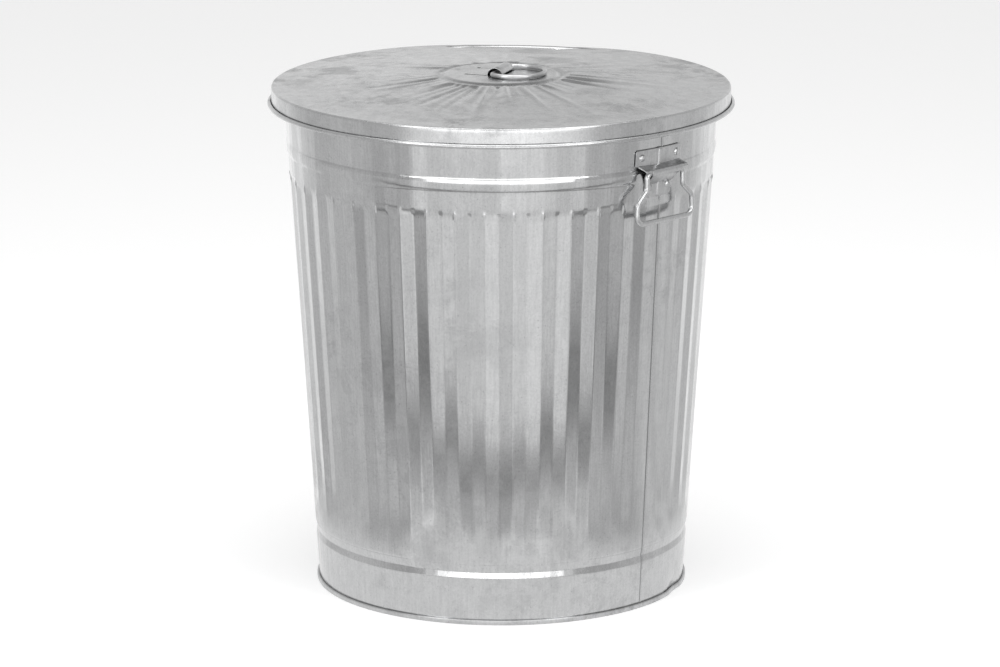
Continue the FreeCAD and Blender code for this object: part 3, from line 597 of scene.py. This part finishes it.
class TRASH_OT_lid(bpy.types.Operator):
    """Model the lid: its curl, skirt, creased top, pressed middle and lanced strap"""
    bl_idname = "trash.lid"
    bl_label = "Lid"

    def execute(self, context):
        lid = settings("lid")
        gauge = settings("can").gauge
        under = lid.top - gauge
        boss = under + lid.rise
        side = lid.radius - gauge
        middle = [(0.0, boss), (0.015, boss), (0.03, boss), (0.045, boss), (0.0565, boss)]
        middle += [(radius, boss - drop * MM) for radius, drop in LID_GROOVE]
        inner, outer = FIELD_RUN
        field = [(0.0745, boss - 0.00155), (0.079, boss - 0.0019), (inner, boss - FIELD_DROP)]
        slope = (lid.rise - FIELD_DROP) / (outer - inner)
        field += [(radius, boss - FIELD_DROP - slope * (radius - inner)) for radius in
                  (0.095, 0.105, 0.117, 0.13, 0.145, 0.16, 0.178, 0.196, 0.215, outer)]
        skirt = [(0.2430, under)] + arc((lid.radius - 0.0018, lid.top - 0.0018), 0.0012, 90, 0, 5)
        skirt += [(side, 0.5385), (side, 0.532), (side, 0.5272)]
        skirt += arc((side + CURL_RADIUS, lid.top - 0.0184), CURL_RADIUS, 180, 470, 16)
        top = new_chain("lid_sheet", profile(middle + field + skirt))
        bpy.ops.mesh.select_all(action="SELECT")
        spin(2 * math.pi, 384)
        merge()
        self.crease()
        face_out(lambda at: Vector(UP))
        bpy.ops.object.mode_set(mode="OBJECT")
        apply_modifier(top, "SOLIDIFY", thickness=gauge, offset=1.0, use_even_offset=True)
        smooth(top, 40)
        self.cut(top)
        # The last value paints shade into the groove round the lid's middle.
        dress(top, zinc("lid_zinc", 0.20, 1.2, 0.8, 1.1, 0.5), "lid", "lid_sheet", "lid_shell")
        self.strap()
        return {"FINISHED"}

    def crease(self):
        """Folds that run out from the middle, where pressing gathered the sheet, and a few dents."""
        corners_only()
        chance = random.Random(7)
        lid = settings("lid")
        for index in range(lid.creases):
            turn = (index + chance.uniform(-0.35, 0.35)) * 2 * math.pi / lid.creases
            reach = chance.uniform(0.10, 0.20)
            lift = chance.choice((-1, 1, 1)) * chance.uniform(0.10, 0.26) * MM
            lift *= 1.3 + 1.5 * max(0, math.cos(turn - math.radians(-38)))
            for share, size in ((1.0, 0.007), (0.8, 0.005), (0.62, 0.004)):
                def on_fold(co):
                    distance = co.xy.length
                    off = off_turn(co, turn) * distance
                    return 0.0725 < distance < reach * share and off < 0.0012 and co.z > 0.54
                pick(on_fold)
                bpy.ops.transform.translate(value=(0, 0, lift), use_proportional_edit=True,
                                            proportional_size=size, proportional_edit_falloff="LINEAR")
        for turn, distance, drop, reach in LID_DENTS:
            push(ray(turn) * distance + Vector((0, 0, lid.top - 0.0006)), Vector((0, 0, -drop * MM)), reach)

    def cut(self, top):
        """Cut the window under the strap, its two slits and the round holes at their ends."""
        first, last = STRAP_SIDES
        boxes = (((-0.0099, 0.0083), (-0.0178, 0.0208)),
                 ((SLIT_END, -0.0095), (-0.0196, first)),
                 ((SLIT_END, -0.0095), (last, 0.0208)))
        for (left, right), (low, high) in boxes:
            start()
            middle = ((left + right) / 2, (low + high) / 2, CUT_HEIGHT)
            bpy.ops.mesh.primitive_cube_add(size=1, location=middle, scale=(right - left, high - low, 0.02))
            self.subtract(top, bpy.context.object)
        for side in (-0.0183, 0.0204):
            start()
            bpy.ops.mesh.primitive_cylinder_add(vertices=20, radius=0.0021, depth=0.02,
                                                location=(SLIT_END, side, CUT_HEIGHT))
            self.subtract(top, bpy.context.object)

    def subtract(self, top, cutter):
        """Turn a cutter to the strap's direction, cut it out of the lid and throw it away."""
        bpy.ops.object.transform_apply(location=True, rotation=False, scale=True)
        cutter.rotation_euler.z = settings("lid").turn
        bpy.ops.object.transform_apply(location=False, rotation=True, scale=False)
        apply_modifier(top, "BOOLEAN", operation="DIFFERENCE", object=cutter, solver="EXACT")
        start()
        bpy.data.objects.remove(cutter)

    def strap(self):
        """The lanced tongue, arched over the ring's bar."""
        lid = settings("lid")
        first, last = STRAP_SIDES
        boss = lid.top + lid.rise - settings("can").gauge / 2
        arch = [(-0.0112, boss), (-0.0104, boss + 0.0001), (-0.0098, boss + 0.0006)]
        arch += arc((-0.0012, boss), 0.0084, 172, 14, 18)
        strap = new_chain("lid_strap", [Vector((across, first, height)) for across, height in arch])
        bpy.ops.mesh.select_all(action="SELECT")
        for _ in range(4):
            bpy.ops.mesh.extrude_region_move(TRANSFORM_OT_translate={"value": (0, (last - first) / 4, 0)})
        merge()
        turn_picked(lid.turn)
        face_out(lambda at: Vector(UP))
        bpy.ops.object.mode_set(mode="OBJECT")
        apply_modifier(strap, "SOLIDIFY", thickness=0.0006, offset=0.0, use_even_offset=True)
        apply_modifier(strap, "BEVEL", width=0.00012, segments=2, limit_method="ANGLE")
        smooth(strap, 40)
        dress(strap, zinc("strap_zinc", 0.24, 0.8), "lid", "lid_sheet")


# ------------------------------------------------------------------ brackets, wires and rivets

PLATE_GAP = 0.0008
PLATE_HALF = 34


class TRASH_OT_brackets(bpy.types.Operator):
    """Model the two brackets: a plate, a shelf, a hook round the wire and a tab"""
    bl_idname = "trash.brackets"
    bl_label = "Handle brackets"

    def execute(self, context):
        handle = settings("handle")
        gauge = handle.gauge
        axis = (cone(handle.axis_height) + handle.stand_off, handle.axis_height)
        middle = handle.hook_radius - gauge

        def wall_side(height):
            return cone(height) + PLATE_GAP

        plate_heights = (0.5075, 0.5055, 0.5035, 0.4995, 0.4955, 0.4925, 0.4905)
        tab_heights = (0.4705, 0.469, 0.4665, 0.464, 0.4605, 0.4575, 0.4555)
        hook = arc(axis, middle, 75, -50, 12)
        section = [(wall_side(height), height) for height in plate_heights]
        section += [(wall_side(0.4900) + 0.0006, 0.4894)] + hook + [(wall_side(0.4716) + 0.0007, 0.4712)]
        section += [(wall_side(height), height) for height in tab_heights]
        bracket = new_chain("bracket_right", [Vector((x, -PLATE_HALF * MM, z)) for x, z in section])
        stops = (-PLATE_HALF, -31.5, -28, -22, -19, -13.5, -8, -2.6, -1.6,
                 1.6, 2.6, 8, 13.5, 19, 22, 28, 31.5, PLATE_HALF)
        for low, high in zip(stops, stops[1:]):
            bpy.ops.mesh.select_all(action="DESELECT")
            pick(lambda co: abs(co.y - low * MM) < 1e-6)
            bpy.ops.mesh.extrude_region_move(TRANSFORM_OT_translate={"value": (0, (high - low) * MM, 0)})
        merge(1e-7)
        wing_low = hook[5][1]
        lip_low = hook[-1][1]

        def outside_plate(at):
            side = abs(at.y)
            return (
                (side > 0.0315 and at.z < 0.4900) or
                (side > 0.022 and at.x > axis[0] and at.z < wing_low) or
                (side > 0.022 and at.z < lip_low + 0.001) or
                (side > 0.019 and at.z < lip_low - 0.0001))

        pick_faces(outside_plate)
        bpy.ops.mesh.delete(type="FACE")
        corners_only()
        for stop in stops:
            fall = -(stop * MM) ** 2 / 2 / axis[0]
            pick(lambda co: abs(co.y - stop * MM) < 1e-6 and (co.z > 0.4903 or co.z < 0.4708))
            bpy.ops.transform.translate(value=(fall, 0, 0))
        pick_faces(lambda at: abs(at.y) < 0.0017 and (0.4905 < at.z < 0.5050 or 0.4570 < at.z < 0.4705))
        bpy.ops.transform.translate(value=(0.0009, 0, 0))
        corners_only()
        for side in (-1, 1):
            pick(lambda co: abs(co.y - side * 0.019) < 1e-6 and co.z < 0.456)
            bpy.ops.transform.translate(value=(0, -side * 0.004, 0))
            pick(lambda co: abs(co.y - side * 0.034) < 1e-6 and co.z > 0.507)
            bpy.ops.transform.translate(value=(0, -side * 0.0012, -0.0006))
        face_out(lambda at: Vector((1 if at.z > 0.495 else 0, 0, 0)))
        bpy.ops.object.mode_set(mode="OBJECT")
        apply_modifier(bracket, "SOLIDIFY", thickness=gauge, offset=1.0, use_even_offset=True)
        apply_modifier(bracket, "BEVEL", width=0.00028, segments=2, limit_method="ANGLE",
                       angle_limit=math.radians(40))
        smooth(bracket, 45)
        other = bracket.copy()
        other.data = bracket.data.copy()
        other.name = "bracket_left"
        context.collection.objects.link(other)
        take(other)
        other.rotation_euler.z = math.pi
        bpy.ops.object.transform_apply(location=False, rotation=True, scale=False)
        metal = zinc("bracket_zinc", 0.26, 1.0, 1.2, 0.6)
        dress(bracket, metal, "can", "bracket", "handle_bracket_right")
        dress(other, metal, "can", "bracket", "handle_bracket_left")
        return {"FINISHED"}


class TRASH_OT_wires(bpy.types.Operator):
    """Give the wires and rivets, whose solids are right, their metal"""
    bl_idname = "trash.wires"
    bl_label = "Wires and rivets"

    def execute(self, context):
        wire = zinc("wire_zinc", 0.26, 0.7, 0.8, 0.4)
        rivet = zinc("rivet_zinc", 0.28, 0.7, 0.8, 0.4)
        for name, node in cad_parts.items():
            metal = rivet if name.startswith("rivet") else wire
            for place in node.material_slots:
                place.material = metal
        return {"FINISHED"}


# ------------------------------------------------------------------ floor, light and camera

VIEW_TURN = 44.5
VIEW_TILT = 13.5575
VIEW_DISTANCE = 5.46775
VIEW_HEIGHT = 1.58742
VIEW_LENS = 187.2
VIEW_SHIFT = -0.0012
FLOOR_WIDTH = 16
GLOW_AT_FOOT = 0.91
# Name, turn from the camera in degrees, distance, height, breadth, length and watts of each soft lamp.
LAMPS = (("softbox_left", -42, 2.3, 1.4, 0.5, 1.4, 8),
         ("softbox_right", 40, 2.3, 1.4, 0.5, 1.4, 8),
         ("softbox_top", 0, 0.4, 2.6, 2.6, 2.6, 30))


class TRASH_OT_stage(bpy.types.Operator):
    """Set up the floor, the soft light and the camera"""
    bl_idname = "trash.stage"
    bl_label = "Stage"

    def execute(self, context):
        scene = context.scene
        scene.view_settings.view_transform = "Standard"
        start()
        bpy.ops.mesh.primitive_plane_add(size=FLOOR_WIDTH, location=CENTRE)
        floor = context.object
        floor.name = "floor"
        floor.data.materials.append(self.paper())
        self.world(scene)
        for lamp in LAMPS:
            self.softbox(*lamp)
        self.camera(scene)
        return {"FINISHED"}

    def glow(self, tree, where):
        """How bright the studio is in a direction, by its angle off the camera's side."""
        turn = math.radians(VIEW_TURN)
        split = tree.node("ShaderNodeSeparateXYZ", {}, (where,)).out.node
        x, y = (Sock(tree, split.outputs[axis]) for axis in "XY")
        along = x * math.sin(turn) - y * math.cos(turn)
        across = x * math.cos(turn) + y * math.sin(turn)
        turned = across.maths("ARCTAN2", along)
        aside = turned.maths("ABSOLUTE")
        stripes = tree.node("ShaderNodeTexNoise", {"noise_dimensions": "1D"}, {
            "W": turned, "Scale": 4.6, "Detail": 1.0, "Roughness": 0.5}).above(0.5, 0.13)
        level = 0.90 - 0.10 * aside.above(0.40, 0.2) + 0.17 * aside.above(0.66, 0.04)
        level = level - 0.37 * aside.above(0.77, 0.04)
        level = level + 0.10 * aside.above(1.25, 0.12) + 0.32 * aside.above(2.20, 0.2)
        apart = tree.node("ShaderNodeVectorMath", {"operation": "LENGTH"}, (where,), output="Value")
        level = level * (0.79 + 0.24 * stripes + 0.18 * tree.noise(where, 5.0, 2.0))
        level = GLOW_AT_FOOT + (level - GLOW_AT_FOOT) * apart.above(0.37, 0.06)
        return level, along, aside

    def paper(self):
        """White paper with soft light and shade lying on it, which only the metal sees."""
        tree = Shader("floor_paper")
        level, along, aside = self.glow(tree, tree.place())
        band = along.above(0.505, 0.05) * (1 - along.above(0.683, 0.014)) * (1 - aside.above(1.1, 0.15))
        far = (0.4 * along.above(1.6, 0.5) + 4.0 * along.above(3.2, 0.8)) * (1 - aside.above(0.66, 0.06))
        seen = tree.node("ShaderNodeLightPath", output="Is Camera Ray")
        paper = tree.node("ShaderNodeBsdfDiffuse", {}, {"Color": (*settings("finish").floor, 1)})
        white = tree.node("ShaderNodeEmission", {}, {"Strength": 0.28})
        paper = tree.node("ShaderNodeAddShader", {}, (paper, white))
        shade = tree.node("ShaderNodeEmission", {}, {"Strength": level * (1 - 0.6 * band + 0.24 * far)})
        return tree.finish(tree.node("ShaderNodeMixShader", {}, (seen, shade, paper)))

    def world(self, scene):
        """The white room: its glow for the metal, and plain white for the camera."""
        world = bpy.data.worlds.new("studio")
        scene.world = world
        tree = Shader("studio", world)
        way = tree.node("ShaderNodeTexCoord", output="Generated")
        level, _, aside = self.glow(tree, way)
        height = tree.node("ShaderNodeSeparateXYZ", {}, (way,), output="Z")
        high_behind = height.above(0.46, 0.16) * aside.above(2.5, 0.3)
        low_before = (1 - aside.above(0.66, 0.06)) * (1 - height.above(0.13, 0.06))
        level = level * (1 - 0.6 * high_behind)
        level = level + 2.9 * low_before
        seen = tree.node("ShaderNodeLightPath", output="Is Camera Ray")
        room = tree.node("ShaderNodeBackground", {}, {"Strength": level})
        white = tree.node("ShaderNodeBackground", {}, {"Color": (1, 1, 1, 1), "Strength": 1.0})
        tree.finish(tree.node("ShaderNodeMixShader", {}, (seen, room, white)), "ShaderNodeOutputWorld")

    def softbox(self, name, turn, distance, height, wide, tall, power):
        """A soft lamp that looks at the can; its turn is counted from the camera's."""
        place = ray(VIEW_TURN + turn - 90) * distance + Vector((0, 0, height))
        bpy.ops.object.light_add(type="AREA", location=place)
        box = bpy.context.object
        box.name = name
        box.data.shape = "RECTANGLE"
        box.data.size = wide
        box.data.size_y = tall
        box.data.energy = power
        aim = Vector((0, 0, 0.3)) - place
        box.rotation_euler = aim.to_track_quat("-Z", "Y").to_euler()

    def camera(self, scene):
        """The photograph's point of view: a long lens that looks a little down."""
        place = ray(VIEW_TURN - 90) * VIEW_DISTANCE + Vector((0, 0, VIEW_HEIGHT))
        bpy.ops.object.camera_add(location=place)
        camera = bpy.context.object
        camera.rotation_euler = (math.radians(90 - VIEW_TILT), 0, math.radians(VIEW_TURN))
        camera.data.lens = VIEW_LENS
        camera.data.sensor_width = 36.0
        camera.data.shift_x = VIEW_SHIFT
        scene.camera = camera


OPERATORS = (TRASH_OT_wall, TRASH_OT_pan, TRASH_OT_lid, TRASH_OT_brackets, TRASH_OT_wires, TRASH_OT_stage)


class TRASH_PT_panel(bpy.types.Panel):
    """The can's pieces, in the order in which they are made"""
    bl_label = "Trash Can"
    bl_idname = "TRASH_PT_panel"
    bl_space_type = "VIEW_3D"
    bl_region_type = "UI"
    bl_category = "Trash Can"

    def draw(self, context):
        for kind in OPERATORS:
            self.layout.operator(kind.bl_idname)


def register():
    for kind in (*GROUPS.values(), *OPERATORS, TRASH_PT_panel):
        bpy.utils.register_class(kind)
    for name, kind in GROUPS.items():
        setattr(bpy.types.Scene, "trash_" + name, PointerProperty(type=kind))


def unregister():
    for name in GROUPS:
        delattr(bpy.types.Scene, "trash_" + name)
    for kind in reversed((*GROUPS.values(), *OPERATORS, TRASH_PT_panel)):
        bpy.utils.unregister_class(kind)


def main():
    """Make every piece in order."""
    register()
    for kind in OPERATORS:
        group, name = kind.bl_idname.split(".")
        getattr(getattr(bpy.ops, group), name)()
    start()


if __name__ == "__main__":
    main()
